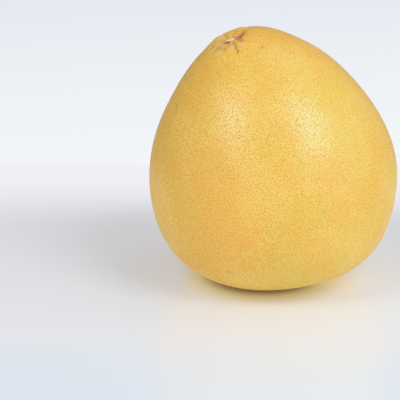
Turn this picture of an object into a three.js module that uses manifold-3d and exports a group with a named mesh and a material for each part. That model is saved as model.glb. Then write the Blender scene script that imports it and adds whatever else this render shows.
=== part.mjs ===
// A whole ripe pomelo: a broad round body that narrows to a leaning neck, with the dried button of its
// stalk in a small pit at the stem end. It rests on a small flat spot beside its blossom end.
// Millimetres, +Z up, -Y is the front. The origin is on the resting plane, under the middle of the fruit.

import * as THREE from 'three';
import { mergeVertices } from 'three/addons/utils/BufferGeometryUtils.js';
import Module from 'manifold-3d';

// Round body, measured from its widest level
const WIDEST_RADIUS = 77.5;
const DEPTH_BELOW_WIDEST = 65.5;
const HEIGHT_ABOVE_WIDEST = 94;
const LOWER_SIDE = 50;            // how steeply the side starts down from the widest level
const BASE_BREADTH = 47;          // how level the base leaves the axis
const UPPER_SIDE = 42;            // how steeply the side starts up from the widest level
const SHOULDER_BREADTH = 37;      // how level the shoulder leaves the axis

// How the body leans and rests
const NECK_SHIFT = 7.2;           // the neck grows over to the left (-X)
const LEAN = THREE.MathUtils.degToRad(5);
const WIDEST_LEVEL = 64.8;        // height of the widest level above the resting plane

// Shallow groove down the front, between two lobes
const GROOVE_DEPTH = 0.9;
const GROOVE_HALF_WIDTH = 17;
const GROOVE_LOW_END = -55;       // level where it starts
const GROOVE_LOW_FULL = 5;        // level where it has its full depth
const GROOVE_TOP_END = 8;         // how far in front of the axis it ends
const GROOVE_TOP_FULL = 45;       // how far in front of the axis it has its full depth

// Low swellings (+) and hollows (-) that make the body lopsided: centre, spread and height
const SWELLINGS = [
  { at: new THREE.Vector3(-18, 15, 93), spread: 14, height: 1.4 },    // rim behind the stem
  { at: new THREE.Vector3(2, 18, 88), spread: 14, height: 1.8 },      // rim behind, further right
  { at: new THREE.Vector3(30, 8, 71), spread: 24, height: 1.1 },      // right shoulder
  { at: new THREE.Vector3(-64, 19, 64), spread: 22, height: -2 },     // below the left shoulder
  { at: new THREE.Vector3(74, -10, -31), spread: 24, height: -1.3 },  // low on the right
  { at: new THREE.Vector3(42, -34, -50), spread: 30, height: 0.9 },   // under the right lobe
  { at: new THREE.Vector3(-22, -37, -56), spread: 26, height: 0.6 },  // under the left lobe
];

// Stem end: a flattened spot beside the top of the neck, with a bowl, furrows and a pit
const STEM_ALONG_UPPER_SIDE = 0.86;   // where it lies on the upper curve, from 0 to 1 at the axis
const STEM_AZIMUTH = THREE.MathUtils.degToRad(210);
const STEM_NORMAL = new THREE.Vector3(-0.275, -0.175, 1).normalize();
const STEM_FLAT_RADIUS = 8.4;
const STEM_FLAT_FADE = 14;
const STEM_FLATNESS = 0.7;
const STEM_REACH_BELOW = 25;      // nothing further under the stem end belongs to it
const BOWL_DEPTH = 1.2;
const BOWL_RADIUS = 6;
const FURROW_COUNT = 6;
const FURROW_DEPTH = 0.45;
const FURROW_MIDDLE = 10;         // distance of the furrows' deepest part from the stem
const FURROW_SPREAD = 4;

// Pit and button, measured along the stem's own axis from the floor of the bowl
const PIT_DEPTH = 2.2;
const PIT_FLOOR_RADIUS = 3.6;
const PIT_MOUTH_RADIUS = 4.6;
const PIT_CUT_HEIGHT = 4;
const BUTTON_RADIUS = 3.2;
const BUTTON_HEIGHT = 3;
const BUTTON_EDGE = 0.7;          // worn edge round its broken top
const BUTTON_HOLLOW = 0.4;        // how far the middle of the top sinks
const GAP = 0.3;                  // between the button and the floor of the pit

const ROUND_SEGMENTS = 88;
const LOWER_STEPS = 16;
const UPPER_STEPS = 32;
const BUTTON_SEGMENTS = 28;

const wasm = await Module();
wasm.setup();

function smoothFade(distance, start, length) {
  return 1 - THREE.MathUtils.smoothstep(distance, start, start + length);
}

// A three.js geometry becomes a closed solid that can be joined and cut.
function toSolid(source) {
  const bare = source.clone();
  bare.deleteAttribute('normal');
  bare.deleteAttribute('uv');
  const merged = mergeVertices(bare);
  const corners = merged.index.array;
  const triangles = [];
  for (let i = 0; i < corners.length; i += 3) {
    const [a, b, c] = corners.slice(i, i + 3);
    if (a !== b && b !== c && c !== a) triangles.push(a, b, c);
  }
  return new wasm.Manifold(new wasm.Mesh({
    numProp: 3,
    vertProperties: new Float32Array(merged.attributes.position.array),
    triVerts: new Uint32Array(triangles),
  }));
}

function toGeometry(solid) {
  const mesh = solid.getMesh();
  const geometry = new THREE.BufferGeometry();
  geometry.setAttribute('position', new THREE.BufferAttribute(mesh.vertProperties, 3));
  geometry.setIndex(new THREE.BufferAttribute(mesh.triVerts, 1));
  geometry.computeVertexNormals();
  return geometry;
}

// LatheGeometry turns about Y, and the fruit stands along Z.
function turnedUpright(outline, segments) {
  return new THREE.LatheGeometry(outline, segments).rotateX(Math.PI / 2);
}

function moveVertices(geometry, move) {
  const position = geometry.attributes.position;
  const point = new THREE.Vector3();
  for (let i = 0; i < position.count; i += 1) {
    point.fromBufferAttribute(position, i);
    move(point);
    position.setXYZ(i, point.x, point.y, point.z);
  }
  position.needsUpdate = true;
}

const lowerSide = new THREE.CubicBezierCurve(
  new THREE.Vector2(0, -DEPTH_BELOW_WIDEST),
  new THREE.Vector2(BASE_BREADTH, -DEPTH_BELOW_WIDEST),
  new THREE.Vector2(WIDEST_RADIUS, -LOWER_SIDE),
  new THREE.Vector2(WIDEST_RADIUS, 0),
);

const upperSide = new THREE.CubicBezierCurve(
  new THREE.Vector2(WIDEST_RADIUS, 0),
  new THREE.Vector2(WIDEST_RADIUS, UPPER_SIDE),
  new THREE.Vector2(SHOULDER_BREADTH, HEIGHT_ABOVE_WIDEST),
  new THREE.Vector2(0, HEIGHT_ABOVE_WIDEST),
);

function bodyOutline() {
  const outline = [...lowerSide.getPoints(LOWER_STEPS), ...upperSide.getPoints(UPPER_STEPS).slice(1)];
  outline[0].x = 0;
  outline.at(-1).x = 0;
  return outline;
}

// Leans the round body's neck over, then adds the lopsided swellings and the front groove.
function shapeBody(point) {
  const groove = Math.exp(-((point.x / GROOVE_HALF_WIDTH) ** 2))
    * THREE.MathUtils.smoothstep(point.z, GROOVE_LOW_END, GROOVE_LOW_FULL)
    * THREE.MathUtils.smoothstep(-point.y, GROOVE_TOP_END, GROOVE_TOP_FULL);
  point.x -= NECK_SHIFT * (Math.max(point.z, 0) / HEIGHT_ABOVE_WIDEST) ** 2;
  const outward = point.clone().normalize();
  let rise = -GROOVE_DEPTH * groove;
  for (const { at, spread, height } of SWELLINGS) {
    rise += height * Math.exp(-point.distanceToSquared(at) / spread ** 2);
  }
  point.addScaledVector(outward, rise);
}

function stemPoint() {
  const { x: radius, y: level } = upperSide.getPoint(STEM_ALONG_UPPER_SIDE);
  const point = new THREE.Vector3(
    radius * Math.cos(STEM_AZIMUTH),
    radius * Math.sin(STEM_AZIMUTH),
    level,
  );
  shapeBody(point);
  return point;
}

const stemEnd = stemPoint();
const stemTurn = new THREE.Quaternion().setFromUnitVectors(new THREE.Vector3(0, 0, 1), STEM_NORMAL);

// Flattens the surface round the stem, and presses the bowl and the radial furrows into it.
function shapeStemEnd(point) {
  const local = point.clone().sub(stemEnd);
  const height = local.dot(STEM_NORMAL);
  if (height < -STEM_REACH_BELOW) return;
  const flat = local.addScaledVector(STEM_NORMAL, -height);
  const distance = flat.length();
  const unturned = flat.clone().applyQuaternion(stemTurn.clone().invert());
  const angle = Math.atan2(unturned.y, unturned.x);
  const ring = Math.exp(-(((distance - FURROW_MIDDLE) / FURROW_SPREAD) ** 2));
  const furrow = (0.5 + 0.5 * Math.cos(FURROW_COUNT * angle)) ** 2;
  const pull = height * STEM_FLATNESS * smoothFade(distance, STEM_FLAT_RADIUS, STEM_FLAT_FADE);
  const bowl = BOWL_DEPTH * Math.exp(-((distance / BOWL_RADIUS) ** 2));
  point.addScaledVector(STEM_NORMAL, -pull - bowl - FURROW_DEPTH * furrow * ring);
}

function placeAtStem(geometry) {
  const floor = stemEnd.clone().addScaledVector(STEM_NORMAL, -BOWL_DEPTH);
  return geometry.applyQuaternion(stemTurn).translate(floor.x, floor.y, floor.z);
}

// Leans the whole fruit to the left and sets its resting plane at the origin.
function setDown(geometry) {
  return geometry.rotateY(-LEAN).translate(0, 0, WIDEST_LEVEL);
}

function pitCut() {
  const outline = [
    new THREE.Vector2(0, -PIT_DEPTH),
    new THREE.Vector2(PIT_FLOOR_RADIUS, -PIT_DEPTH),
    new THREE.Vector2(PIT_MOUTH_RADIUS, 0),
    new THREE.Vector2(PIT_MOUTH_RADIUS, PIT_CUT_HEIGHT),
    new THREE.Vector2(0, PIT_CUT_HEIGHT),
  ];
  return setDown(placeAtStem(turnedUpright(outline, BUTTON_SEGMENTS)));
}

function groundCut() {
  const size = 4 * WIDEST_RADIUS;
  return new THREE.BoxGeometry(size, size, size).translate(0, 0, -size / 2);
}

function makeFruit() {
  const body = turnedUpright(bodyOutline(), ROUND_SEGMENTS);
  moveVertices(body, shapeBody);
  moveVertices(body, shapeStemEnd);
  return toGeometry(toSolid(setDown(body)).subtract(toSolid(groundCut())).subtract(toSolid(pitCut())));
}

// The dried end of the stalk, broken off level with the fruit.
function makeStemButton() {
  const bottom = GAP - PIT_DEPTH;
  const top = bottom + BUTTON_HEIGHT;
  const outline = [
    new THREE.Vector2(0, bottom),
    new THREE.Vector2(BUTTON_RADIUS - BUTTON_EDGE, bottom),
    new THREE.Vector2(BUTTON_RADIUS, bottom + BUTTON_EDGE),
    new THREE.Vector2(BUTTON_RADIUS, top - BUTTON_EDGE),
    new THREE.Vector2(BUTTON_RADIUS - BUTTON_EDGE, top),
    new THREE.Vector2(0, top - BUTTON_HOLLOW),
  ];
  return toGeometry(toSolid(setDown(placeAtStem(turnedUpright(outline, BUTTON_SEGMENTS)))));
}

function named(name, geometry, color, roughness) {
  const material = new THREE.MeshStandardMaterial({ color, roughness, metalness: 0 });
  const mesh = new THREE.Mesh(geometry, material);
  mesh.name = name;
  return mesh;
}

const pomelo = new THREE.Group();
pomelo.add(
  named('fruit', makeFruit(), 0xe9c05c, 0.45),
  named('stem_button', makeStemButton(), 0xcfa274, 0.85),
);

export default pomelo;
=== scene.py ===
import math

import bpy
import numpy as np
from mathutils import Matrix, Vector, noise
from mathutils.geometry import delaunay_2d_cdt
from mathutils.kdtree import KDTree


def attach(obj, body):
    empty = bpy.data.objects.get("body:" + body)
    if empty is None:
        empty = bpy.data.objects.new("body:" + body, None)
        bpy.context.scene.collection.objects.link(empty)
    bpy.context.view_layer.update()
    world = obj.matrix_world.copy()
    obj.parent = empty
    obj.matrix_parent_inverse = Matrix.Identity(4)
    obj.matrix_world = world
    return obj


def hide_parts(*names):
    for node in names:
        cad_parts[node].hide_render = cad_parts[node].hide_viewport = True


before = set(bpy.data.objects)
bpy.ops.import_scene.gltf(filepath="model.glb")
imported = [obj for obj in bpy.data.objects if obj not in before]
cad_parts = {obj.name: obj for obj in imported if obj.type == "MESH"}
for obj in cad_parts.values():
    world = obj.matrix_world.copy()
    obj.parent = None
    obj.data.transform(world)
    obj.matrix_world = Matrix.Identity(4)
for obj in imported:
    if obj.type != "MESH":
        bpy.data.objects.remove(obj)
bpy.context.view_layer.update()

MM = 0.001
SEED = 7
TINY = 1e-6                   # keeps a division away from zero
SAME_POINT = 1e-12            # points closer than this count as one

# ---- Body, in millimetres from its widest level, as in the CAD model ----
WIDEST_RADIUS = 77.5
DEPTH_BELOW_WIDEST = 65.5
HEIGHT_ABOVE_WIDEST = 94.0
LOWER_SIDE = 50.0             # how steeply the side starts down from the widest level
BASE_BREADTH = 47.0           # how level the base leaves the axis
UPPER_SIDE = 42.0             # how steeply the side starts up from the widest level
SHOULDER_BREADTH = 37.0       # how level the shoulder leaves the axis
OUTLINE_STEPS = 2000          # in each half of the outline
NECK_SHIFT = 7.2              # the neck grows over to the left
LEAN = math.radians(5)
WIDEST_LEVEL = 64.8           # height of the widest level above the resting plane

# Shallow groove down the front, between two lobes: its size, and where it starts and has its full depth, up
# the front and out from the axis
GROOVE_DEPTH = 0.9
GROOVE_HALF_WIDTH = 17.0
GROOVE_LOW_END, GROOVE_LOW_FULL = -55.0, 5.0
GROOVE_TOP_END, GROOVE_TOP_FULL = 8.0, 45.0

# Low swellings (+) and hollows (-): centre, spread, height
SWELLINGS = [
    ((-18, 15, 93), 14, 1.4),
    ((2, 18, 88), 14, 1.8),
    ((30, 8, 71), 24, 1.1),
    ((-64, 19, 64), 22, -2.0),
    ((74, -10, -31), 24, -1.3),
    ((42, -34, -50), 30, 0.9),
    ((-22, -37, -56), 26, 0.6),
]

# ---- Stem end ----
STEM_ALONG_UPPER_SIDE = 0.86  # where it lies on the upper curve, from 0 to 1 at the axis
STEM_AZIMUTH = math.radians(210)
STEM_AXIS = np.array([-0.275, -0.175, 1.0])
STEM_NORMAL = STEM_AXIS / np.linalg.norm(STEM_AXIS)
STEM_FLAT_RADIUS, STEM_FLAT_FADE, STEM_FLATNESS = 8.4, 14.0, 0.7
STEM_REACH_BELOW = 25.0       # nothing further under the stem end belongs to it
FAR_AWAY = 1000.0             # where a point that isn't near the stem is said to lie
BOWL_DEPTH, BOWL_RADIUS = 1.2, 6.0
STEM_ZONE = 19.5              # the rind round the stem that is finely modelled
STEM_ZONE_FADE = 4.0          # its relief fades out over this
STEM_ZONE_MARGIN = 1.2        # left free between its points and the glands round it
COLLAR_HEIGHT, COLLAR_MIDDLE, COLLAR_SPREAD = 0.3, 5.6, 1.5
WRINKLE_HEIGHT, WRINKLE_PITCH = 0.22, 2.6
DRY_CENTRE, DRY_REACH = (-2.2, -1.0), (14.0, 10.5)     # the tan skin round the stem, across and deep
DRY_FADE = (0.35, 1.0)        # it fades out between these shares of its reach

# The pit closes in on the button, most of all on the right, and stands open on one side
PIT_DEPTH, PIT_FLOOR_RADIUS = 2.2, 3.6
PIT_CLOSING, PIT_CLOSING_RIGHT = 0.35, 0.4
PIT_OPENING = 0.8
PIT_OPEN_SIDE = math.radians(256)
PIT_OPEN_NARROWNESS = 6
PIT_WALL = 0.8                # from its edge out to the rind's surface
PIT_BROWN_FADE = (0.2, 1.0)   # distance past its edge over which its brown and painted shade fade out
PIT_BROWN_LEAST = 0.1         # share of the brown where it doesn't stand open; the rest, towards the open side, is painted shade

# Creases round the stem, each from one point to another (to the right of the stem, behind it), with its
# half width, depth and strength of brown stain
CREASES = [
    ((6.4, -1.4), (7.8, 1.4), 2.8, 0.35, 1.0),
    ((7.2, 1.2), (9.6, 5.4), 2.0, 0.25, 0.65),
    ((6.4, -1.2), (8.8, 3.4), 0.8, 0.4, 1.0),
    ((5.6, -3.4), (7.6, -7.2), 1.5, 0.1, 0.7),
    ((2.4, -5.6), (3.2, -11.0), 0.7, 0.35, 0.6),
    ((3.2, -11.0), (4.2, -17.4), 0.65, 0.45, 0.9),
    ((-0.6, -6.0), (-1.2, -9.0), 0.7, 0.45, 0.45),
    ((-2.4, -8.6), (-3.8, -11.0), 0.7, 0.5, 0.6),
    ((-8.8, -7.0), (-5.2, -7.8), 1.0, 0.6, 0.7),
    ((-11.6, -2.6), (-10.6, -0.4), 0.9, 0.55, 0.6),
    ((-4.6, -2.6), (-8.0, -4.0), 0.7, 0.12, 0.1),
    ((-4.4, 2.6), (-9.5, 5.0), 0.8, 0.25, 0.1),
    ((-1.5, 5.0), (-3.0, 11.0), 0.8, 0.5, 0.4),
    ((2.6, 4.6), (4.6, 10.5), 0.8, 0.5, 0.3),
]
CREASE_WANDER = 0.35          # how far a crease strays from its line
CREASE_TURNS = (1.7, 1.9)     # how fast it strays, in radians for each millimetre
STAIN_BREADTH = 0.85          # the stain's half width, as a share of its crease's

# Lumps between the creases: the same two measures, then spread and height
LUMPS = [
    ((0.9, -12.8), 2.3, 0.55),
    ((7.2, -11.6), 2.4, 0.45),
    ((-7.6, -11.6), 2.6, 0.45),
    ((-7.4, -1.2), 2.2, 0.35),
    ((-4.4, 8.6), 2.6, 0.5),
    ((-7.6, 10.9), 3.0, 0.7),
    ((8.7, 15.0), 3.6, 0.8),
    ((9.4, -3.4), 2.2, 0.35),
]
LUMP_TINT = 1.6               # how much paler a lump gets for each millimetre of its height

# ---- Blossom end, a small shallow scar on the underside ----
BLOSSOM_AT = (24.0, 11.0, -62.0)
BLOSSOM_RADIUS = 4.0
BLOSSOM_DEPTH = 0.5
BLOSSOM_TAN_SHARE = 0.8       # of its radius

# ---- Oil glands ----
GLAND_COUNT = 17400
GLAND_SIDES = 4               # points round each gland
GLAND_RADIUS = (0.58, 0.9)
GLAND_DEPTH = (0.10, 0.17)
GLAND_STRENGTH = (0.6, 1.0)   # how dark its spot is
GLAND_ROUNDING = 1.5          # how softly its dimple runs out at the edge
GLAND_START = (7.0, 13.0)     # no dimples nearer the stem than the first, full ones beyond the second
GLAND_JITTER = 1.2            # in gland spacings, like the reach of the push
PUSH_REACH = 1.15             # glands closer than this push each other apart
NEIGHBOURS = 6                # how many push on each gland
SETTLE_STEP = 0.35            # share of the push that it gives way to in each pass
SETTLE_PASSES = 3
FINE_PITCH = 0.36             # distance between points in the stem zone
GOLDEN_ANGLE = math.pi * (3 - math.sqrt(5))
SKEW = (0.12, 0.05, 1.0)      # a direction that no gland faces exactly

# ---- Stem button ----
BUTTON_RADIUS = 3.2
BUTTON_HEIGHT = 3.0
BUTTON_GAP = 0.3
BUTTON_SEGMENTS = 64
BUTTON_SIDE_RINGS = 10
BUTTON_TOP_RINGS = 22
BUTTON_TAPER = 0.04           # how much it draws in at its foot and rim, as a share of its radius
BUTTON_EDGE = 0.25            # height of its rounded rim
BARK_RIDGES = ((5, 1.0, 0.05), (11, 2.5, 0.035))       # number round it, turn, height in radii
BARK_AT_FOOT = 0.4            # share of their height at the foot
TORN_BELOW_TOP = (1.0, 0.2)   # the torn fibres start and are full this far below its top
TEARS = ((0.18, 1.5, 4.0), (0.08, 0.55, 9.0))          # height, pitch and place in the noise
TILT_RIGHT, TILT_FRONT = 0.08, 0.13    # how much its top rises for each millimetre that way
TOP_SINK = 0.4
END_GRAIN_MIDDLE = (0.9, 0.2)
END_GRAIN_FADE = (2.2, 2.9)   # distance from that middle over which the pale end grain fades out
SHADED_RIM_FADE = (2.5, 3.1)       # distance from it over which the painted shade on the rim fades in
SHADED_RIM_LEFT = (-2.8, -1.9)    # it fades in from the left between these
SHADED_RIM_FRONT_LEFT = (1.5, 2.2)         # and towards the front left between these
FRONT_LEFT = (-0.75, -0.66)

# ---- Camera ----
CAMERA_PITCH = math.radians(18)
CAMERA_FIELD = math.radians(15.4)
CAMERA_SENSOR = 36.0
CAMERA_AIM = Vector((-45.7, 0.0, 49.4)) * MM
CAMERA_DISTANCE = 932 * MM


def smoothstep(value, low, high):
    t = np.clip((value - low) / (high - low), 0, 1)
    return t * t * (3 - 2 * t)


def unit(vectors):
    return vectors / np.linalg.norm(vectors, axis=-1, keepdims=True)


def bezier(a, b, c, d, t):
    a, b, c, d = (np.array(p, float) for p in (a, b, c, d))
    t = t[:, None]
    return (1 - t) ** 3 * a + 3 * (1 - t) ** 2 * t * b + 3 * (1 - t) * t * t * c + t ** 3 * d


LOWER_CURVE = (
    (0, -DEPTH_BELOW_WIDEST), (BASE_BREADTH, -DEPTH_BELOW_WIDEST),
    (WIDEST_RADIUS, -LOWER_SIDE), (WIDEST_RADIUS, 0),
)
UPPER_CURVE = (
    (WIDEST_RADIUS, 0), (WIDEST_RADIUS, UPPER_SIDE),
    (SHOULDER_BREADTH, HEIGHT_ABOVE_WIDEST), (0, HEIGHT_ABOVE_WIDEST),
)
STEPS = np.linspace(0, 1, OUTLINE_STEPS + 1)
OUTLINE = np.vstack([bezier(*LOWER_CURVE, STEPS), bezier(*UPPER_CURVE, STEPS)[1:]])
OUTLINE_ANGLE = np.arctan2(OUTLINE[:, 1], OUTLINE[:, 0])
OUTLINE_REACH = np.hypot(OUTLINE[:, 0], OUTLINE[:, 1])

# The length of each short stretch of the outline times its distance from the axis, which is its share of
# the area of the plain round body
STRIPS = np.hypot(*np.diff(OUTLINE, axis=0).T) * (OUTLINE[1:, 0] + OUTLINE[:-1, 0]) / 2
BODY_AREA = 2 * math.pi * STRIPS.sum()


def on_body(points):
    """The points moved straight in or out from the middle until they lie on the plain round body."""
    level_angle = np.arctan2(points[:, 2], np.hypot(points[:, 0], points[:, 1]))
    return unit(points) * np.interp(level_angle, OUTLINE_ANGLE, OUTLINE_REACH)[:, None]


def spiral_over_body(count):
    """Evenly spread points on the plain round body, along one spiral from its base to its top."""
    share = np.concatenate([[0], np.cumsum(STRIPS)])
    order = np.arange(count)
    place = (order + 0.5) / count * share[-1]
    radius = np.interp(place, share, OUTLINE[:, 0])
    level = np.interp(place, share, OUTLINE[:, 1])
    azimuth = order * GOLDEN_ANGLE
    return np.stack([radius * np.cos(azimuth), radius * np.sin(azimuth), level], -1)


def soft_bumps(points, bumps, start=0.0):
    """Smooth round bumps, each given by its centre, spread and height, added up at each point."""
    total = start
    for centre, spread, height in bumps:
        total = total + height * np.exp(-((points - centre) ** 2).sum(1) / spread ** 2)
    return total


def shape_body(points):
    """Leans the neck over, then adds the swellings and the front groove."""
    groove = np.exp(-(points[:, 0] / GROOVE_HALF_WIDTH) ** 2)
    groove *= smoothstep(points[:, 2], GROOVE_LOW_END, GROOVE_LOW_FULL)
    groove *= smoothstep(-points[:, 1], GROOVE_TOP_END, GROOVE_TOP_FULL)
    shaped = points.copy()
    shaped[:, 0] -= NECK_SHIFT * (np.maximum(points[:, 2], 0) / HEIGHT_ABOVE_WIDEST) ** 2
    rise = soft_bumps(shaped, SWELLINGS, -GROOVE_DEPTH * groove)
    return shaped + unit(shaped) * rise[:, None]


def stem_point():
    """Where the stem leaves the leaning body."""
    radius, level = bezier(*UPPER_CURVE, np.array([STEM_ALONG_UPPER_SIDE]))[0]
    plain = [[radius * math.cos(STEM_AZIMUTH), radius * math.sin(STEM_AZIMUTH), level]]
    return shape_body(np.array(plain))[0]


STEM_POINT = stem_point()
STEM_RIGHT = unit(np.array([1.0, 0, 0]) - STEM_NORMAL[0] * STEM_NORMAL)
STEM_BACK = np.cross(STEM_NORMAL, STEM_RIGHT)


def around_stem(points):
    """Each point's place across the stem end (right and back), and its height along the stem's axis."""
    local = points - STEM_POINT
    height = local @ STEM_NORMAL
    across = np.stack([local @ STEM_RIGHT, local @ STEM_BACK], -1)
    across[height < -STEM_REACH_BELOW] += FAR_AWAY
    return across, height


def stem_distance(points):
    return np.hypot(*around_stem(points)[0].T)


def off_line(places, start, end):
    """How far each place lies from the straight line between two points."""
    start, end = np.array(start), np.array(end)
    along = end - start
    share = np.clip((places - start) @ along / (along @ along), 0, 1)
    return np.hypot(*(places - start - share[:, None] * along).T)


def crease_amounts(places):
    """How deep the creases press in, and how brown they are stained, at each place."""
    depth, stain = np.zeros(len(places)), np.zeros(len(places))
    wander = CREASE_WANDER * np.sin(places[:, ::-1] * CREASE_TURNS)
    for start, end, half_width, deep, brown in CREASES:
        beside = off_line(places + wander, start, end) / half_width
        depth += deep * np.exp(-beside ** 2)
        stain = np.maximum(stain, brown * np.exp(-(beside / STAIN_BREADTH) ** 2))
    return depth, stain


def pit_edge(places):
    """How far from the stem the pit's edge lies in each place's direction, and how open the pit is there."""
    azimuth = np.arctan2(places[:, 1], places[:, 0])
    openness = (0.5 + 0.5 * np.cos(azimuth - PIT_OPEN_SIDE)) ** PIT_OPEN_NARROWNESS
    closing_right = PIT_CLOSING_RIGHT * (0.5 + 0.5 * np.cos(azimuth)) ** 2
    return PIT_FLOOR_RADIUS - PIT_CLOSING - closing_right + PIT_OPENING * openness, openness


def random_swell(points, pitch, offset=0.0):
    """A smooth random swell between -1 and 1, its rises about `pitch` millimetres apart."""
    return np.array([noise.noise(Vector(p) / pitch + Vector((offset, 0, 0))) for p in points])


def shape_stem_end(points):
    """Flattens the rind round the stem and presses in its bowl, collar, creases, wrinkles and pit."""
    places, height = around_stem(points)
    distance = np.hypot(*places.T)
    flat = 1 - smoothstep(distance, STEM_FLAT_RADIUS, STEM_FLAT_RADIUS + STEM_FLAT_FADE)
    sink = height * STEM_FLATNESS * flat + BOWL_DEPTH * np.exp(-(distance / BOWL_RADIUS) ** 2)
    near = np.flatnonzero(distance < STEM_ZONE)
    close = distance[near]
    relief = crease_amounts(places[near])[0] - soft_bumps(places[near], LUMPS)
    relief -= COLLAR_HEIGHT * np.exp(-((close - COLLAR_MIDDLE) / COLLAR_SPREAD) ** 2)
    relief -= WRINKLE_HEIGHT * random_swell(points[near], WRINKLE_PITCH)
    sink[near] += relief * (1 - smoothstep(close, STEM_ZONE - STEM_ZONE_FADE, STEM_ZONE))
    edge = pit_edge(places[near])[0]
    sink[near] += PIT_DEPTH * (1 - smoothstep(close, edge, edge + PIT_WALL))
    return points - STEM_NORMAL * sink[:, None]


def set_down(points):
    """Leans the whole fruit to the left and stands it on the resting plane."""
    x, y, z = points.T
    cos, sin = math.cos(LEAN), math.sin(LEAN)
    return np.stack([x * cos - z * sin, y, x * sin + z * cos + WIDEST_LEVEL], -1)


# ---- Rind mesh ----

def tangents(normals):
    """Two directions across each normal, square to each other."""
    side = unit(np.cross(normals, np.array(SKEW)))
    return side, np.cross(normals, side)


def nearest_to(sites, points, count):
    """For each point, the numbers and distances of its nearest sites."""
    tree = KDTree(len(sites))
    for number, site in enumerate(sites):
        tree.insert(site, number)
    tree.balance()
    found = [tree.find_n(point, count) for point in points]
    numbers = np.array([[hit[1] for hit in hits] for hits in found])
    distances = np.array([[hit[2] for hit in hits] for hits in found])
    return numbers, distances


def gland_sites(rng):
    """Glands spread evenly but with no pattern: a jittered spiral, whose points push each other apart."""
    spacing = math.sqrt(BODY_AREA / GLAND_COUNT)
    sites = spiral_over_body(GLAND_COUNT)
    sites = on_body(sites + rng.uniform(-0.5, 0.5, sites.shape) * GLAND_JITTER * spacing)
    for _ in range(SETTLE_PASSES):
        numbers, distances = nearest_to(sites, sites, 1 + NEIGHBOURS)    # each is nearest to itself
        away = sites[:, None] - sites[numbers[:, 1:]]
        push = np.maximum(0, PUSH_REACH * spacing - distances[:, 1:])[..., None]
        away = away / np.maximum(distances[:, 1:], TINY)[..., None]
        sites = on_body(sites + SETTLE_STEP * (away * push).sum(1))
    return sites


def gland_points(sites, radii, rng):
    """A middle point and a ring of points for each gland."""
    side, up = tangents(unit(sites))
    start = rng.uniform(0, 2 * math.pi, len(sites))
    rings = [sites]
    for k in range(GLAND_SIDES):
        turn = start + k * 2 * math.pi / GLAND_SIDES
        step = side * np.cos(turn)[:, None] + up * np.sin(turn)[:, None]
        rings.append(on_body(sites + step * radii[:, None]))
    return np.vstack(rings)


def stem_zone_points():
    """Closely spaced points round the stem."""
    fine = spiral_over_body(round(BODY_AREA / FINE_PITCH ** 2))
    return fine[stem_distance(shape_body(fine)) < STEM_ZONE - STEM_ZONE_MARGIN]


def wrap_triangles(points):
    """Delaunay triangles over a closed round shape whose last point is its lowest pole.

    The other points are projected from that pole to a plane and joined there. What is left open is closed
    with triangles to the pole.
    """
    x, y, z = unit(points[:-1]).T
    flat = [Vector(p) for p in np.stack([x / (1 + z), y / (1 + z)], -1)]
    _, _, faces, origins, _, _ = delaunay_2d_cdt(flat, [], [], 0, SAME_POINT)
    faces = np.array([origin[0] for origin in origins])[np.array(faces)]
    starts = faces.reshape(-1)
    ends = np.roll(faces, -1, axis=1).reshape(-1)
    total = len(points)
    open_edge = ~np.isin(starts * total + ends, ends * total + starts)
    pole = np.full(open_edge.sum(), total - 1)
    fan = np.stack([ends[open_edge], starts[open_edge], pole], -1)
    return np.vstack([faces, fan])


def mesh_object(name, points, faces, flat=False):
    mesh = bpy.data.meshes.new(name)
    corners = [list(map(int, face)) for face in faces]
    mesh.from_pydata((points * MM).tolist(), [], corners, shade_flat=flat)
    mesh.update()
    obj = bpy.data.objects.new(name, mesh)
    bpy.context.scene.collection.objects.link(obj)
    return obj


def add_mask(obj, name, values):
    """Stores a value from 0 to 1 at each point, for the material to read."""
    mask = obj.data.attributes.new(name, "FLOAT", "POINT")
    mask.data.foreach_set("value", np.clip(values, 0, 1).astype(np.float32))


# ---- Colour zones of the rind, in the fruit's own frame: centre, spread, amount ----

BLUSH_ZONES = [
    ((-32, -70, 10), 20, 0.6),
    ((-31, -70, -16), 18, 0.5),
    ((-9, -9, 93), 13, 0.5),
    ((7, -5, 92), 13, 0.55),
    ((32, -17, 76), 15, 0.35),
    ((30, 66, 20), 30, 0.45),
    ((66, 30, -30), 24, 0.4),
    ((-60, 40, -20), 26, 0.45),
]
GREEN_ZONES = [
    ((23, -66, -36), 25, 0.7),
    ((34, -52, -46), 14, 0.35),
    ((-8, -68, -30), 22, 0.35),
    ((-10, -39, 76), 11, 0.35),
    ((-36, -43, 61), 12, 0.35),
    ((40, 60, -30), 28, 0.5),
    ((-30, 66, 40), 26, 0.4),
]
# Paler patches; the two on the front are partly painted light, making the rind paler where the lamps leave it
# dim
PALE_AND_LIT_ZONES = [
    ((50, -30, 45), 28, 0.55),
    ((36, -56, -34), 26, 0.55),
    ((-50, 30, 40), 30, 0.4),
    ((20, 60, -20), 30, 0.4),
]

# Small brown marks on the rind: place in the same frame, size, strength
SPECKS = [
    ((5.4, -22.3, 87.6), 0.6, 1.2),
    ((-54.2, -23.5, 57.3), 0.9, 0.7),
    ((-32.4, -60.3, -38.1), 1.6, 0.35),
    ((-70.0, 20.0, 6.0), 0.9, 0.8),
    ((38.0, 60.0, 18.0), 1.0, 0.9),
    ((-12.0, 72.0, 20.0), 0.8, 0.7),
    ((62.0, 38.0, -16.0), 1.8, 0.4),
    ((8.0, 52.0, 62.0), 0.8, 0.8),
]


def speck_amounts(points):
    """One brown dot at the point nearest each speck's place, fading over its size."""
    dots = []
    for place, size, strength in SPECKS:
        nearest = ((points - place) ** 2).sum(1).argmin()
        dots.append((points[nearest], size, strength))
    return soft_bumps(points, dots)


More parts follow.
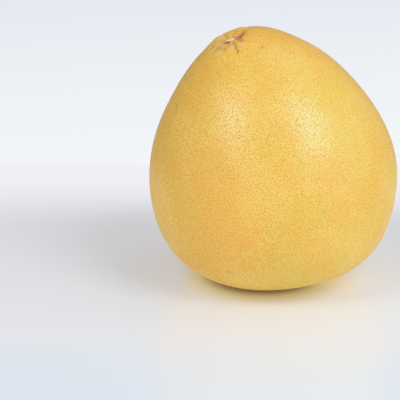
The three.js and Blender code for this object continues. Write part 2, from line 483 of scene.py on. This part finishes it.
def add_stem_end_masks(rind, places):
    """Where the rind round the stem is stained, dry, raised in a lump, or brown in the pit, the brown darkest
    on the pit's open side as painted shade.
    """
    from_stem = np.hypot(*places.T)
    close = from_stem < STEM_ZONE
    add_mask(rind, "stain", crease_amounts(places)[1] * close)
    dry_reach = np.hypot(*((places - DRY_CENTRE) / DRY_REACH).T)
    add_mask(rind, "dry", (1 - smoothstep(dry_reach, *DRY_FADE)) * close)
    add_mask(rind, "lump", soft_bumps(places, LUMPS) * close * LUMP_TINT)
    edge, openness = pit_edge(places)
    fade_start, fade_end = PIT_BROWN_FADE
    brown = PIT_BROWN_LEAST + (1 - PIT_BROWN_LEAST) * openness
    add_mask(rind, "pit", (1 - smoothstep(from_stem, edge + fade_start, edge + fade_end)) * brown)


def make_rind():
    """The whole rind as one closed mesh, with the masks that its material reads."""
    rng = np.random.default_rng(SEED)
    sites = gland_sites(rng)
    radii = rng.uniform(*GLAND_RADIUS, len(sites))
    depths = rng.uniform(*GLAND_DEPTH, len(sites))
    strengths = rng.uniform(*GLAND_STRENGTH, len(sites))

    outside = stem_distance(shape_body(sites)) > STEM_ZONE
    lowest = np.array([[0, 0, -DEPTH_BELOW_WIDEST]])
    plain = np.vstack([gland_points(sites[outside], radii[outside], rng), stem_zone_points(), lowest])
    faces = wrap_triangles(plain)

    numbers, distances = nearest_to(sites, plain, 1)
    own, away = numbers[:, 0], distances[:, 0]
    body = shape_body(plain)
    dimple = np.clip(1 - (away / radii[own]) ** 2, 0, 1) ** GLAND_ROUNDING
    dimple *= smoothstep(stem_distance(body), *GLAND_START)
    from_scar = np.linalg.norm(body - np.array(BLOSSOM_AT), axis=1)
    rise = -dimple * depths[own] - BLOSSOM_DEPTH * np.exp(-(from_scar / BLOSSOM_RADIUS) ** 2)
    standing = set_down(shape_stem_end(body + unit(body) * rise[:, None]))
    standing[:, 2] = np.maximum(standing[:, 2], 0)     # the resting flat

    rind = mesh_object("rind", standing, faces)
    add_mask(rind, "gland", dimple * strengths[own])
    add_stem_end_masks(rind, around_stem(body)[0])
    add_mask(rind, "speck", speck_amounts(plain))
    add_mask(rind, "blush", soft_bumps(plain, BLUSH_ZONES))
    add_mask(rind, "green", soft_bumps(plain, GREEN_ZONES))
    add_mask(rind, "pale", soft_bumps(plain, PALE_AND_LIT_ZONES))
    add_mask(rind, "blossom", np.exp(-(from_scar / (BLOSSOM_RADIUS * BLOSSOM_TAN_SHARE)) ** 2))
    return rind


# ---- Stem button mesh ----

BUTTON_BOTTOM = BUTTON_GAP - PIT_DEPTH
BUTTON_TOP = BUTTON_BOTTOM + BUTTON_HEIGHT


def button_rings():
    """The stub's rings, from its foot up the side and in over its top: radius, level, share of the bark."""
    rings = []
    for k in range(BUTTON_SIDE_RINGS):
        share = k / (BUTTON_SIDE_RINGS - 1)
        draw_in = 1 - BUTTON_TAPER * (2 * share - 1) ** 4
        level = BUTTON_BOTTOM + share * (BUTTON_HEIGHT - BUTTON_EDGE)
        rings.append((BUTTON_RADIUS * draw_in, level, share))
    for k in range(1, BUTTON_TOP_RINGS):
        share = 1 - k / BUTTON_TOP_RINGS
        level = BUTTON_TOP - BUTTON_EDGE + BUTTON_EDGE * (1 - share ** 4)
        rings.append((BUTTON_RADIUS * (1 - BUTTON_TAPER) * share, level, 1.0))
    return rings


def button_points(rings):
    """The middle of the foot, the points of each ring with its bark ridges, and the middle of the top."""
    points = [(0.0, 0.0, BUTTON_BOTTOM)]
    for radius, level, share in rings:
        for j in range(BUTTON_SEGMENTS):
            angle = 2 * math.pi * j / BUTTON_SEGMENTS
            bark = sum(height * math.sin(count * angle + turn) for count, turn, height in BARK_RIDGES)
            reach = radius * (1 + bark * (BARK_AT_FOOT + (1 - BARK_AT_FOOT) * share))
            points.append((reach * math.cos(angle), reach * math.sin(angle), level))
    points.append((0.0, 0.0, BUTTON_TOP))
    return np.array(points)


def make_stem_button():
    """A short broken stub: uneven bark round the side, torn fibres on top."""
    rings = button_rings()
    points = button_points(rings)
    across, deep, level = points.T
    ragged = smoothstep(level, *(BUTTON_TOP - below for below in TORN_BELOW_TOP))
    torn = sum(height * random_swell(points, pitch, offset) for height, pitch, offset in TEARS)
    tilt = TILT_RIGHT * across - TILT_FRONT * deep - TOP_SINK
    points[:, 2] += ragged * (torn + tilt)
    floor = STEM_POINT - BOWL_DEPTH * STEM_NORMAL
    axes = np.array([STEM_RIGHT, STEM_BACK, STEM_NORMAL])
    faces = ring_faces(len(rings), BUTTON_SEGMENTS)
    button = mesh_object("stem_button_wood", set_down(floor + points @ axes), faces)
    off_middle = np.hypot(across - END_GRAIN_MIDDLE[0], deep - END_GRAIN_MIDDLE[1])
    to_front_left = FRONT_LEFT[0] * across + FRONT_LEFT[1] * deep
    # The front-left rim gets painted shade, a dark brown where the gap beside the button lies in shadow
    rim = smoothstep(off_middle, *SHADED_RIM_FADE) * smoothstep(across, *SHADED_RIM_LEFT)
    add_mask(button, "end_grain", ragged * (1 - smoothstep(off_middle, *END_GRAIN_FADE)))
    add_mask(button, "shaded_rim", rim * smoothstep(to_front_left, *SHADED_RIM_FRONT_LEFT))
    return button


def ring_faces(ring_count, segments):
    """Faces of a closed stack of rings, with one point below the first ring and one above the last."""
    last = 1 + ring_count * segments
    faces = []
    for j in range(segments):
        after = (j + 1) % segments
        faces.append((0, 1 + after, 1 + j))
        for k in range(ring_count - 1):
            low, high = 1 + k * segments, 1 + (k + 1) * segments
            faces.append((low + j, low + after, high + after, high + j))
        high = 1 + (ring_count - 1) * segments
        faces.append((high + j, high + after, last))
    return faces


# ---- Shader helpers ----

class Nodes:
    """Adds and links nodes in one tree."""

    def __init__(self, tree):
        self.tree = tree

    def feed(self, node, inputs):
        """Links each named input of a node to another node's output, or sets a plain value on it."""
        for name, value in inputs.items():
            if isinstance(value, bpy.types.NodeSocket):
                self.tree.links.new(value, node.inputs[name])
            else:
                node.inputs[name].default_value = value

    def add(self, kind, inputs, **settings):
        node = self.tree.nodes.new(kind)
        for name, value in settings.items():
            setattr(node, name, value)
        self.feed(node, inputs)
        return node

    def noise(self, vector, scale, detail, roughness=0.5):
        inputs = {"Vector": vector, "Scale": scale, "Detail": detail, "Roughness": roughness}
        return self.add("ShaderNodeTexNoise", inputs).outputs["Fac"]

    def math(self, operation, a, b, clamp=False):
        return self.add("ShaderNodeMath", {0: a, 1: b}, operation=operation, use_clamp=clamp).outputs[0]

    def ramp(self, value, low, high, to_low=0.0, to_high=1.0):
        inputs = {"Value": value, "From Min": low, "From Max": high, "To Min": to_low, "To Max": to_high}
        node = self.add("ShaderNodeMapRange", inputs, interpolation_type="SMOOTHSTEP")
        return node.outputs["Result"]

    def vary(self, vector, scale, detail, between, results, roughness=0.5):
        """A value that wanders over the surface: noise between two levels gives the two results."""
        return self.ramp(self.noise(vector, scale, detail, roughness), *between, *results)

    def mix(self, factor, a, b, blend="MIX"):
        inputs = {0: factor, 6: a, 7: b}
        node = self.add("ShaderNodeMix", inputs, data_type="RGBA", blend_type=blend, clamp_factor=True)
        return node.outputs[2]

    def mask(self, name):
        return self.add("ShaderNodeAttribute", {}, attribute_name=name).outputs["Fac"]

    def place(self):
        return self.add("ShaderNodeTexCoord", {}).outputs["Object"]

    def distance(self, vector, point):
        inputs = {0: vector, 1: point}
        return self.add("ShaderNodeVectorMath", inputs, operation="DISTANCE").outputs["Value"]

    def bump(self, height, strength, distance):
        inputs = {"Strength": strength, "Distance": distance, "Height": height}
        return self.add("ShaderNodeBump", inputs).outputs["Normal"]

    def group(self, group, inputs):
        return self.add("ShaderNodeGroup", inputs, node_tree=group).outputs


def new_group(name, inputs, outputs):
    """A node group, its nodes, what it is given and where its results go.

    `inputs` lists (name, socket type, default), and `outputs` lists (name, socket type).
    """
    group = bpy.data.node_groups.new(name, "ShaderNodeTree")
    for title, kind, default in inputs:
        socket = group.interface.new_socket(title, in_out="INPUT", socket_type=kind)
        if default is not None:
            socket.default_value = default
    for title, kind in outputs:
        group.interface.new_socket(title, in_out="OUTPUT", socket_type=kind)
    given = group.nodes.new("NodeGroupInput").outputs
    result = group.nodes.new("NodeGroupOutput")
    return group, Nodes(group), given, result


MOTTLE_PATCH = {"detail": 3.0, "between": (0.3, 0.7), "results": (0.0, 1.0)}
MOTTLE_FLECK = {"detail": 4.0, "roughness": 0.65, "between": (0.35, 0.65), "results": (-0.5, 0.5)}
COARSE_DETAIL, FINE_DETAIL = 1.0, 2.0
PORE_FLOOR = 0.3              # the level middle of a pore, as a share of its size


def make_mottle_group():
    """Two colours in soft patches, with finer flecks over them."""
    group, nodes, given, result = new_group(
        "mottle",
        [
            ("Vector", "NodeSocketVector", None),
            ("Light", "NodeSocketColor", None),
            ("Dark", "NodeSocketColor", None),
            ("Patch Scale", "NodeSocketFloat", 30.0),
            ("Fleck Scale", "NodeSocketFloat", 300.0),
            ("Fleck Amount", "NodeSocketFloat", 0.3),
        ],
        [("Color", "NodeSocketColor"), ("Mask", "NodeSocketFloat")],
    )
    patch = nodes.vary(given["Vector"], given["Patch Scale"], **MOTTLE_PATCH)
    fleck = nodes.vary(given["Vector"], given["Fleck Scale"], **MOTTLE_FLECK)
    mask = nodes.math("ADD", patch, nodes.math("MULTIPLY", fleck, given["Fleck Amount"]), clamp=True)
    nodes.feed(result, {"Color": nodes.mix(mask, given["Light"], given["Dark"]), "Mask": mask})
    return group


def make_grain_group():
    """Height of a fine uneven skin: a coarse swell with a finer grain on it."""
    group, nodes, given, result = new_group(
        "fine_grain",
        [
            ("Vector", "NodeSocketVector", None),
            ("Coarse Scale", "NodeSocketFloat", 300.0),
            ("Fine Scale", "NodeSocketFloat", 1200.0),
            ("Fine Share", "NodeSocketFloat", 0.4),
        ],
        [("Height", "NodeSocketFloat")],
    )
    coarse = nodes.noise(given["Vector"], given["Coarse Scale"], COARSE_DETAIL)
    fine = nodes.noise(given["Vector"], given["Fine Scale"], FINE_DETAIL)
    height = nodes.math("ADD", coarse, nodes.math("MULTIPLY", fine, given["Fine Share"]))
    nodes.feed(result, {"Height": height})
    return group


def make_pores_group():
    """Small round pores: 1 in the middle of a pore and 0 between them."""
    group, nodes, given, result = new_group(
        "pores",
        [
            ("Vector", "NodeSocketVector", None),
            ("Scale", "NodeSocketFloat", 600.0),
            ("Size", "NodeSocketFloat", 0.3),
        ],
        [("Mask", "NodeSocketFloat")],
    )
    cells = nodes.add("ShaderNodeTexVoronoi", {"Vector": given["Vector"], "Scale": given["Scale"]})
    floor = nodes.math("MULTIPLY", given["Size"], PORE_FLOOR)
    mask = nodes.ramp(cells.outputs["Distance"], given["Size"], floor)
    nodes.feed(result, {"Mask": mask})
    return group


MOTTLE = make_mottle_group()
GRAIN = make_grain_group()
PORES = make_pores_group()


def new_material(name):
    material = bpy.data.materials.new(name)
    material.use_nodes = True
    return material, Nodes(material.node_tree), material.node_tree.nodes["Principled BSDF"]


# ---- Rind material ----

PALE_YELLOW = (0.87, 0.576, 0.116, 1)
DEEP_YELLOW = (0.80, 0.462, 0.043, 1)
PALE_LEMON = (0.88, 0.64, 0.15, 1)
LEAF_GREEN_YELLOW = (0.77, 0.55, 0.068, 1)
ORANGE_BLUSH = (0.92, 0.455, 0.052, 1)
GLAND_GOLD = (0.60, 0.335, 0.004, 1)
STEM_TAN = (0.67, 0.37, 0.115, 1)
LUMP_YELLOW = (0.74, 0.54, 0.17, 1)
# the pit's brown, which on its open side also paints the shade of the gap
PIT_BROWN_AND_SHADE = (0.33, 0.095, 0.010, 1)
STAIN_BROWN = (0.40, 0.07, 0.0, 1)
CREASE_BROWN = (0.34, 0.13, 0.02, 1)
SPECK_BROWN = (0.42, 0.13, 0.02, 1)

SKIN_MOTTLE = {
    "Light": PALE_YELLOW, "Dark": DEEP_YELLOW,
    "Patch Scale": 30.0, "Fleck Scale": 720.0, "Fleck Amount": 1.4,
}
SKIN_PORES = {"Scale": 600.0, "Size": 0.36}
SKIN_GRAIN = {"Coarse Scale": 380.0, "Fine Scale": 1300.0, "Fine Share": 0.35}
SKIN_BUMP = {"strength": 0.6, "distance": 0.00045}

# How the rind's finish wanders over it: the noise, the levels it is read between, and the two results
TINT_STRENGTH = {"scale": 70.0, "detail": 2.0, "between": (0.3, 0.7), "results": (0.7, 1.0)}
GLAND_EDGE = {"scale": 1000.0, "detail": 1.0, "between": (0.3, 0.7), "results": (0.65, 1.35)}
DRYNESS = {"scale": 260.0, "detail": 3.0, "between": (0.3, 0.6), "results": (0.45, 1.0)}
STAIN_STRENGTH = {"scale": 520.0, "detail": 3.0, "between": (0.3, 0.55), "results": (0.75, 1.0)}
WAX_ROUGHNESS = {"scale": 60.0, "detail": 2.0, "between": (0.3, 0.7), "results": (0.31, 0.37)}

# Green and orange patches outside their zones, at opposite ends of one noise: the two levels that they grow
# between, and how much there is of them at each
PATCH_NOISE = {"scale": 48.0, "detail": 3.0}
GREEN_PATCHES = (0.52, 0.70, 0.0, 0.8)
BLUSH_PATCHES = (0.48, 0.28, 0.0, 0.6)

GLAND_SPOT_FULL = 0.6         # the spot is at its darkest from here in to the gland's middle
PORE_TINT = 0.75              # how dark a pore is, next to a gland
SPOT_TINT = 0.80              # how much of the spot's colour covers the skin
DEEP_STAIN = (0.3, 0.8)       # a stain turns from crease brown to red brown between these strengths
SPOT_ROUGHNESS = 0.35         # added in the spots
DRY_ROUGHNESS = 0.5           # added on dry and stained skin
PORE_DEPTH = 0.5              # next to the grain

# The waxy skin's shine, and the light that it lets in
SKIN_SHINE = {
    "Specular IOR Level": 0.92,
    "Specular Tint": (0.70, 0.76, 1.0, 1),
    "Subsurface Weight": 0.12,
    "Subsurface Radius": (1.0, 0.55, 0.15),
    "Subsurface Scale": 0.0015,
}


def skin_color(nodes, place):
    """Mottled yellow with green and orange patches, and pale patches that on the front are partly painted
    light.
    """
    strength = nodes.vary(place, **TINT_STRENGTH)
    patch = nodes.noise(place, **PATCH_NOISE)
    green = nodes.math("ADD", nodes.mask("green"), nodes.ramp(patch, *GREEN_PATCHES), clamp=True)
    blush = nodes.math("ADD", nodes.mask("blush"), nodes.ramp(patch, *BLUSH_PATCHES), clamp=True)
    color = nodes.group(MOTTLE, {"Vector": place, **SKIN_MOTTLE})["Color"]
    color = nodes.mix(nodes.math("MULTIPLY", nodes.mask("pale"), strength), color, PALE_LEMON)
    color = nodes.mix(nodes.math("MULTIPLY", green, strength), color, LEAF_GREEN_YELLOW)
    return nodes.mix(nodes.math("MULTIPLY", blush, strength), color, ORANGE_BLUSH)


def stem_end_color(nodes, place, color):
    """The skin's colour with the tan, lumps, stains and brown pit of the stem end over it, the pit's open
    side darkened as painted shade.
    """
    dry = nodes.math("MULTIPLY", nodes.mask("dry"), nodes.vary(place, **DRYNESS))
    color = nodes.mix(dry, color, STEM_TAN)
    color = nodes.mix(nodes.mask("lump"), color, LUMP_YELLOW)
    stain = nodes.mix(nodes.ramp(nodes.mask("stain"), *DEEP_STAIN), CREASE_BROWN, STAIN_BROWN)
    ragged = nodes.math("MULTIPLY", nodes.mask("stain"), nodes.vary(place, **STAIN_STRENGTH))
    color = nodes.mix(ragged, color, stain)
    return nodes.mix(nodes.mask("pit"), color, PIT_BROWN_AND_SHADE)


def rind_material():
    material, nodes, shader = new_material("waxy_rind")
    place = nodes.place()
    pore = nodes.group(PORES, {"Vector": place, **SKIN_PORES})["Mask"]
    gland = nodes.math("MULTIPLY", nodes.mask("gland"), nodes.vary(place, **GLAND_EDGE))
    gland = nodes.ramp(gland, 0.0, GLAND_SPOT_FULL)
    spot = nodes.math("MAXIMUM", gland, nodes.math("MULTIPLY", pore, PORE_TINT))

    color = nodes.mix(nodes.math("MULTIPLY", spot, SPOT_TINT), skin_color(nodes, place), GLAND_GOLD)
    color = stem_end_color(nodes, place, color)
    color = nodes.mix(nodes.mask("speck"), color, SPECK_BROWN)
    color = nodes.mix(nodes.mask("blossom"), color, STEM_TAN)

    marked = nodes.math("ADD", nodes.mask("stain"), nodes.mask("pit"))
    dull = nodes.math("MAXIMUM", nodes.mask("dry"), marked)
    rough = nodes.vary(place, **WAX_ROUGHNESS)
    rough = nodes.math("ADD", rough, nodes.math("MULTIPLY", spot, SPOT_ROUGHNESS))
    rough = nodes.math("ADD", rough, nodes.math("MULTIPLY", dull, DRY_ROUGHNESS), clamp=True)

    grain = nodes.group(GRAIN, {"Vector": place, **SKIN_GRAIN})["Height"]
    relief = nodes.math("SUBTRACT", grain, nodes.math("MULTIPLY", pore, PORE_DEPTH))
    normal = nodes.bump(relief, **SKIN_BUMP)
    nodes.feed(shader, {"Base Color": color, "Roughness": rough, "Normal": normal, **SKIN_SHINE})
    return material


# ---- Stem button material ----

END_GRAIN_TAN = (0.95, 0.68, 0.32, 1)
# painted shade on the button's front-left rim
RIM_SHADE_BROWN = (0.34, 0.11, 0.025, 1)
WOOD_MOTTLE = {
    "Light": (0.86, 0.55, 0.26, 1), "Dark": (0.74, 0.44, 0.19, 1),
    "Patch Scale": 500.0, "Fleck Scale": 2400.0, "Fleck Amount": 0.6,
}
WOOD_GRAIN = {"Coarse Scale": 1200.0, "Fine Scale": 4000.0, "Fine Share": 0.6}
WOOD_BUMP = {"strength": 0.8, "distance": 0.0003}
WOOD_ROUGHNESS = (0.7, 0.9)   # of light and of dark wood


def stem_material():
    material, nodes, shader = new_material("dry_stem_wood")
    place = nodes.place()
    wood = nodes.group(MOTTLE, {"Vector": place, **WOOD_MOTTLE})
    color = nodes.mix(nodes.mask("end_grain"), wood["Color"], END_GRAIN_TAN)
    # painted shade: dark brown on the front-left rim, where the gap beside the button lies in shadow
    color = nodes.mix(nodes.mask("shaded_rim"), color, RIM_SHADE_BROWN)
    rough = nodes.ramp(wood["Mask"], 0.0, 1.0, *WOOD_ROUGHNESS)
    grain = nodes.group(GRAIN, {"Vector": place, **WOOD_GRAIN})["Height"]
    normal = nodes.bump(grain, **WOOD_BUMP)
    nodes.feed(shader, {"Base Color": color, "Roughness": rough, "Normal": normal})
    return material


# ---- Stage, light and camera, in metres ----

FLOOR_SIZE = 6.0
WALL_LINE = 0.244             # behind the fruit, where the pale table gives way to the paler wall colour
WALL_FADE = 0.012             # to either side of that line
WALL_GLOW = (0.40, 0.43, 0.49, 1)
TABLE_COLOR = (0.61, 0.643, 0.69, 1)
WALL_COLOR = (0.725, 0.755, 0.78, 1)
TABLE_FINISH = {"Emission Strength": 1.0, "Roughness": 0.2, "Specular IOR Level": 0.9}

# The table's painted light, as it is seen: painted shade under the fruit, a warm painted bounce beside its
# foot, a painted reflection of the fruit's lit side, brighter towards the wall and cooler towards the front.
# Each glow fades into the next between two distances from the middle of the foot, or two depths.
FOOT = (-0.006, -0.001, 0.0)
FOOT_EDGE = (0.031, 0.042)
PAINTED_FOOT_SHADE = (0.06, 0.028, 0, 1)
WARM_BOUNCE_EDGE = (0.038, 0.058)
PAINTED_WARM_BOUNCE = (0.23, 0.195, 0.08, 1)
TABLE_GLOW = (0.223, 0.218, 0.225, 1)
PAINTED_REFLECTION_AT = (0.042, -0.010, 0.0)         # where the painted reflection of the fruit's lit side lies on the table
PAINTED_REFLECTION_REACH = 0.038
PAINTED_FRUIT_REFLECTION = (0.12, 0.08, 0.02, 1)
FAR_EDGE = (0.08, 0.22)
FAR_GLOW = (0.44, 0.405, 0.45, 1)
FRONT_EDGE = (-0.08, -0.175)
FRONT_GLOW = (0.15, 0.195, 0.245, 1)
BOUNCE_EDGE = (0.027, 0.043)
BOUNCE_GLOW = (0.33, 0.31, 0.17, 1)     # the light that the table throws up on the fruit
DARK = (0, 0, 0, 1)


def painted_table_light(nodes, place, depth, away):
    """The table's painted light as the camera sees it: painted shade under the fruit, with a warm painted
    bounce and a painted reflection of the fruit beside its foot.
    """
    glow = nodes.mix(nodes.ramp(away, *WARM_BOUNCE_EDGE), PAINTED_WARM_BOUNCE, TABLE_GLOW)
    glow = nodes.mix(nodes.ramp(away, *FOOT_EDGE), PAINTED_FOOT_SHADE, glow)
    shine = nodes.ramp(nodes.distance(place, PAINTED_REFLECTION_AT), PAINTED_REFLECTION_REACH, 0.0)
    glow = nodes.mix(shine, glow, PAINTED_FRUIT_REFLECTION, blend="ADD")
    glow = nodes.mix(nodes.ramp(depth, *FRONT_EDGE), glow, FRONT_GLOW)
    return nodes.mix(nodes.ramp(depth, *FAR_EDGE), glow, FAR_GLOW)


def stage_material():
    material, nodes, shader = new_material("pale_table")
    place = nodes.place()
    depth = nodes.add("ShaderNodeSeparateXYZ", {"Vector": place}).outputs["Y"]
    behind = nodes.ramp(depth, WALL_LINE - WALL_FADE, WALL_LINE + WALL_FADE)
    away = nodes.distance(place, FOOT)
    shown = nodes.mix(behind, painted_table_light(nodes, place, depth, away), WALL_GLOW)
    thrown = nodes.mix(behind, nodes.mix(nodes.ramp(away, *BOUNCE_EDGE), DARK, BOUNCE_GLOW), DARK)
    seen = nodes.add("ShaderNodeLightPath", {}).outputs["Is Camera Ray"]
    nodes.feed(shader, {
        "Base Color": nodes.mix(behind, TABLE_COLOR, WALL_COLOR),
        "Emission Color": nodes.mix(seen, thrown, shown),
        **TABLE_FINISH,
    })
    return material


def make_floor():
    half = FLOOR_SIZE / 2 / MM
    corners = np.array([(-half, -half, 0), (half, -half, 0), (half, half, 0), (-half, half, 0)])
    floor = mesh_object("table_top", corners, [(0, 1, 2, 3)], flat=True)
    floor.data.materials.append(stage_material())


# Which way each light stands from the middle of the fruit, how far off, how wide it is and its power in watts
LIGHTS = {
    "right_softbox": ((0.465, -0.50, 0.72), 1.3, 0.62, 6.2),
    "left_softbox": ((-0.50, -0.50, 0.72), 1.3, 0.55, 3.8),
    "right_reflector": ((0.95, -0.25, 0.38), 1.8, 1.8, 5.1),
    "left_reflector": ((-0.95, -0.25, 0.35), 1.8, 1.8, 3.0),
    "top_fill": ((0.35, 0.25, 0.90), 1.5, 1.0, 2.4),
    "front_right_fill": ((0.70, -0.70, 0.10), 1.8, 1.8, 7.2),
    "front_left_fill": ((-0.50, -0.85, 0.12), 1.8, 1.8, 5.0),
}
LIT_MIDDLE = Vector((0, 0, 0.08))
ROOM_LIGHT = 0.338            # what the empty room throws on the fruit
SEEN_ROOM = 0.95              # how bright it is where it is seen past the table


def make_lights():
    for name, (direction, distance, size, power) in LIGHTS.items():
        data = bpy.data.lights.new(name, "AREA")
        data.shape = "DISK"
        data.size = size
        data.energy = power
        light = bpy.data.objects.new(name, data)
        outward = Vector(direction).normalized()
        light.location = LIT_MIDDLE + outward * distance
        light.rotation_euler = outward.to_track_quat("Z", "Y").to_euler()
        light.visible_camera = False
        bpy.context.scene.collection.objects.link(light)
    world = bpy.data.worlds.new("studio")
    world.use_nodes = True
    nodes = Nodes(world.node_tree)
    seen = nodes.add("ShaderNodeLightPath", {}).outputs["Is Camera Ray"]
    extra = nodes.math("MULTIPLY", seen, SEEN_ROOM - ROOM_LIGHT)
    strength = nodes.math("ADD", extra, ROOM_LIGHT)
    nodes.feed(world.node_tree.nodes["Background"], {"Color": (1, 1, 1, 1), "Strength": strength})
    bpy.context.scene.world = world


def make_camera():
    data = bpy.data.cameras.new("camera")
    data.sensor_width = CAMERA_SENSOR
    data.lens = CAMERA_SENSOR / 2 / math.tan(CAMERA_FIELD / 2)
    camera = bpy.data.objects.new("camera", data)
    back = Vector((0, -math.cos(CAMERA_PITCH), math.sin(CAMERA_PITCH)))
    camera.location = CAMERA_AIM + back * CAMERA_DISTANCE
    camera.rotation_euler = (math.pi / 2 - CAMERA_PITCH, 0, 0)
    bpy.context.scene.collection.objects.link(camera)
    bpy.context.scene.camera = camera


# Light above this level is eased towards white, as film does
SHOULDER_START = 0.8
SHOULDER_LEVELS = (0.4, 0.7, 0.8, 0.9, 1.0, 1.1, 1.25, 1.45, 1.7, 2.1)
BRIGHTEST_LEVEL = 3.0
ALL_COLORS = 3                # the curve that red, green and blue share


def eased(level):
    """The level that a light level is shown at, which never passes white."""
    room = 1 - SHOULDER_START
    over = max(level - SHOULDER_START, 0)
    return min(level, SHOULDER_START) + room * (1 - math.exp(-over / room))


def ease_highlights():
    settings = bpy.context.scene.view_settings
    settings.view_transform = "Standard"
    settings.use_curve_mapping = True
    mapping = settings.curve_mapping
    mapping.use_clip = False
    curve = mapping.curves[ALL_COLORS]
    curve.points[1].location = (BRIGHTEST_LEVEL, eased(BRIGHTEST_LEVEL))
    for level in SHOULDER_LEVELS:
        curve.points.new(level, eased(level))
    mapping.update()


make_camera()
ease_highlights()
make_lights()
make_floor()

rind = make_rind()
rind.data.materials.append(rind_material())
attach(rind, "root")
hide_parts("fruit")

button = make_stem_button()
button.data.materials.append(stem_material())
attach(button, "root")
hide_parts("stem_button")
